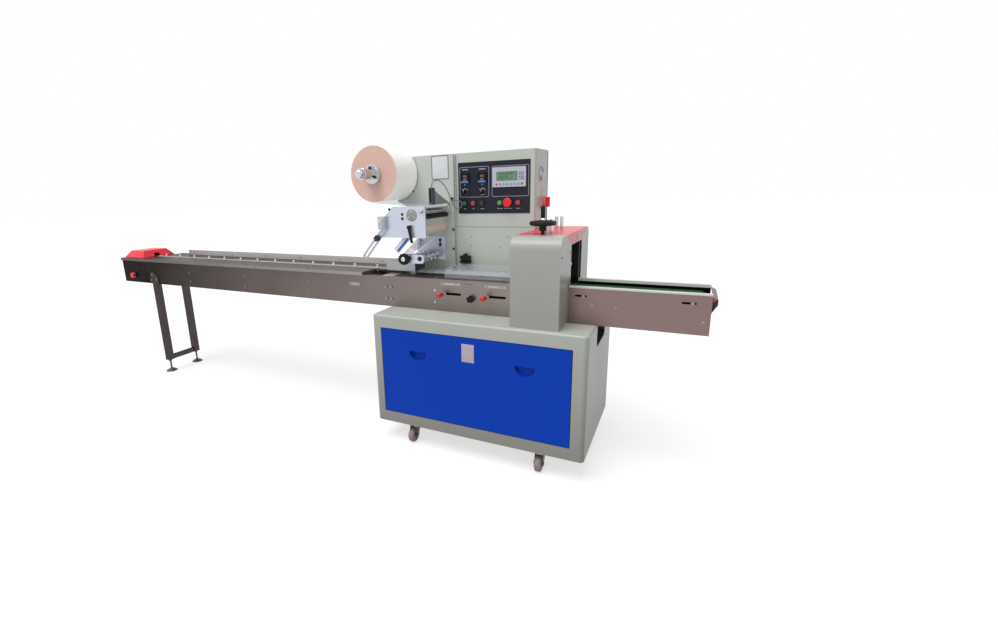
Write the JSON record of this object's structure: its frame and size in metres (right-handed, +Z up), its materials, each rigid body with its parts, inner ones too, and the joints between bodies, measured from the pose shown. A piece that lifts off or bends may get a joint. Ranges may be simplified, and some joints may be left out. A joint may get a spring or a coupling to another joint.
{
  "type": "horizontal flow wrapper",
  "caption": "Pillow-pack wrapping machine: chain infeed with pushers, cabinet base on castors, film reel and folding unit, end-sealer housing and belt outfeed.",
  "frame": {"origin": "on the floor, at the middle of the machine's length and depth", "axes": "+X along the product flow to the outfeed, +Y from the operator side to the back, +Z up"},
  "size_m": [3.769, 0.64, 1.461],
  "materials": {
    "painted_housing": "satin warm grey-green enamel",
    "blue_enamel": "gloss blue enamel",
    "red_enamel": "gloss red enamel",
    "stainless": "brushed stainless sheet",
    "bright_steel": "polished steel",
    "machined_aluminium": "machined plate",
    "chain_steel": "oiled steel",
    "white_plastic": "white nylon",
    "black_plastic": "moulded black",
    "panel_navy": "dark panel",
    "display_grey": "light grey casing",
    "red_plastic": "red moulded caps",
    "button_plastic": "coloured caps",
    "film": "wound clear film",
    "roller_rubber": "tan rubber sleeve",
    "clear_acrylic": "clear sheet",
    "belt": "green conveyor belt",
    "fork_steel": "dark pressed steel",
    "castor_rubber": "grey-pink rubber"
  },
  "bodies": {
    "machine": {"base_cabinet": "painted_housing", "front_panel": "blue_enamel", "machine_body": "painted_housing", "control_cabinet": "painted_housing", "operator_panel": "panel_navy", "operator_display": "display_grey", "temperature_controllers": "black_plastic", "push_buttons": "button_plastic", "isolator_base": "display_grey", "reel_plate": "painted_housing", "film_unit_plate": "machined_aluminium", "film_guide_arm": "machined_aluminium", "film_web": "film", "forming_box": "stainless", "centre_seal_unit": "machined_aluminium", "photo_sensor": "black_plastic", "apron": "stainless", "clear_cover": "clear_acrylic", "infeed_side_plates": "stainless", "infeed_table": "stainless", "infeed_fence": "stainless", "infeed_end_cover": "red_enamel", "infeed_chain": "chain_steel", "infeed_pushers": "white_plastic", "drive_rollers": "bright_steel", "infeed_stand": "stainless", "levelling_feet": "bright_steel", "sealer_covers": "painted_housing", "sealer_guard": "red_enamel", "jaw_frame": "chain_steel", "outfeed_side_plates": "stainless", "outfeed_belt": "belt", "outfeed_nose": "stainless"},
    "reel": {"film_roll": "film", "reel_shaft": "bright_steel"},
    "top_idler_body": {"top_idler": "bright_steel"},
    "lower_idler_body": {"lower_idler": "black_plastic"},
    "draw_roller_body": {"draw_roller": "roller_rubber"},
    "clamp_lever_body": {"clamp_lever": "black_plastic"},
    "wall_knob_body": {"wall_knob": "black_plastic"},
    "star_knob_body": {"star_knob": "black_plastic"},
    "left_lever_body": {"left_lever": "red_plastic"},
    "right_lever_body": {"right_lever": "red_plastic"},
    "handwheel_body": {"handwheel": "black_plastic"},
    "isolator_handle_body": {"isolator_handle": "red_plastic"},
    "selector_left_body": {"selector_left": "black_plastic"},
    "selector_right_body": {"selector_right": "black_plastic"},
    "emergency_stop_body": {"emergency_stop": "red_plastic"},
    "infeed_stop_body": {"infeed_stop_button": "red_plastic"},
    "castor_1": {"castor_fork_1": "fork_steel"},
    "castor_wheel_body_1": {"castor_wheel_1": "castor_rubber"},
    "castor_2": {"castor_fork_2": "fork_steel"},
    "castor_wheel_body_2": {"castor_wheel_2": "castor_rubber"},
    "castor_3": {"castor_fork_3": "fork_steel"},
    "castor_wheel_body_3": {"castor_wheel_3": "castor_rubber"},
    "castor_4": {"castor_fork_4": "fork_steel"},
    "castor_wheel_body_4": {"castor_wheel_4": "castor_rubber"}
  },
  "joints": [
    {"name": "reel_spin", "type": "hinge", "parent": "machine", "child": "reel", "pos_m": [0.3535, 0.085, 1.325], "axis": [0, 1, 0], "continuous": true},
    {"name": "top_idler_spin", "type": "hinge", "parent": "machine", "child": "top_idler_body", "pos_m": [0.6545, 0.085, 1.146], "axis": [0, 1, 0], "continuous": true},
    {"name": "lower_idler_spin", "type": "hinge", "parent": "machine", "child": "lower_idler_body", "pos_m": [0.6465, 0.085, 1.117], "axis": [0, 1, 0], "continuous": true},
    {"name": "draw_roller_spin", "type": "hinge", "parent": "machine", "child": "draw_roller_body", "pos_m": [0.6295, 0.085, 1.056], "axis": [0, 1, 0], "continuous": true},
    {"name": "clamp_lever_turn", "type": "hinge", "parent": "machine", "child": "clamp_lever_body", "pos_m": [0.5785, -0.17, 1.07], "axis": [0, 1, 0], "range_deg": [-80, 80]},
    {"name": "wall_knob_turn", "type": "hinge", "parent": "machine", "child": "wall_knob_body", "pos_m": [0.7555, 0.103, 0.885], "axis": [0, 1, 0], "continuous": true},
    {"name": "star_knob_turn", "type": "hinge", "parent": "machine", "child": "star_knob_body", "pos_m": [0.8815, -0.145, 0.735], "axis": [0, 1, 0], "continuous": true},
    {"name": "left_lever_slide", "type": "slide", "parent": "machine", "child": "left_lever_body", "axis": [1, 0, 0], "range_m": [0, 0.084]},
    {"name": "right_lever_slide", "type": "slide", "parent": "machine", "child": "right_lever_body", "axis": [1, 0, 0], "range_m": [0, 0.084]},
    {"name": "handwheel_turn", "type": "hinge", "parent": "machine", "child": "handwheel_body", "pos_m": [1.2175, -0.152, 1.043], "axis": [0, 0, 1], "continuous": true},
    {"name": "isolator_turn", "type": "hinge", "parent": "machine", "child": "isolator_handle_body", "pos_m": [1.1105, 0.231, 1.163], "axis": [1, 0, 0], "range_deg": [0, 90]},
    {"name": "selector_left_turn", "type": "hinge", "parent": "machine", "child": "selector_left_body", "pos_m": [0.7495, 0.103, 1.222], "axis": [0, 1, 0], "range_deg": [-60, 60]},
    {"name": "selector_right_turn", "type": "hinge", "parent": "machine", "child": "selector_right_body", "pos_m": [0.8435, 0.103, 1.222], "axis": [0, 1, 0], "range_deg": [-60, 60]},
    {"name": "emergency_stop_press", "type": "slide", "parent": "machine", "child": "emergency_stop_body", "axis": [0, 1, 0], "range_m": [0, 0.004], "stiffness_N_per_m": 1200},
    {"name": "infeed_stop_press", "type": "slide", "parent": "machine", "child": "infeed_stop_body", "axis": [0, 1, 0], "range_m": [0, 0.004], "stiffness_N_per_m": 1200},
    {"name": "castor_swivel_1", "type": "hinge", "parent": "machine", "child": "castor_1", "pos_m": [0.6115, -0.252, 0.107], "axis": [0, 0, 1], "continuous": true},
    {"name": "castor_roll_1", "type": "hinge", "parent": "castor_1", "child": "castor_wheel_body_1", "pos_m": [0.6115, -0.28, 0.0375], "axis": [1, 0, 0], "continuous": true},
    {"name": "castor_swivel_2", "type": "hinge", "parent": "machine", "child": "castor_2", "pos_m": [1.2555, -0.252, 0.107], "axis": [0, 0, 1], "continuous": true},
    {"name": "castor_roll_2", "type": "hinge", "parent": "castor_2", "child": "castor_wheel_body_2", "pos_m": [1.2555, -0.28, 0.0375], "axis": [1, 0, 0], "continuous": true},
    {"name": "castor_swivel_3", "type": "hinge", "parent": "machine", "child": "castor_3", "pos_m": [0.6115, 0.232, 0.107], "axis": [0, 0, 1], "continuous": true},
    {"name": "castor_roll_3", "type": "hinge", "parent": "castor_3", "child": "castor_wheel_body_3", "pos_m": [0.6115, 0.204, 0.0375], "axis": [1, 0, 0], "continuous": true},
    {"name": "castor_swivel_4", "type": "hinge", "parent": "machine", "child": "castor_4", "pos_m": [1.2555, 0.232, 0.107], "axis": [0, 0, 1], "continuous": true},
    {"name": "castor_roll_4", "type": "hinge", "parent": "castor_4", "child": "castor_wheel_body_4", "pos_m": [1.2555, 0.204, 0.0375], "axis": [1, 0, 0], "continuous": true}
  ]
}
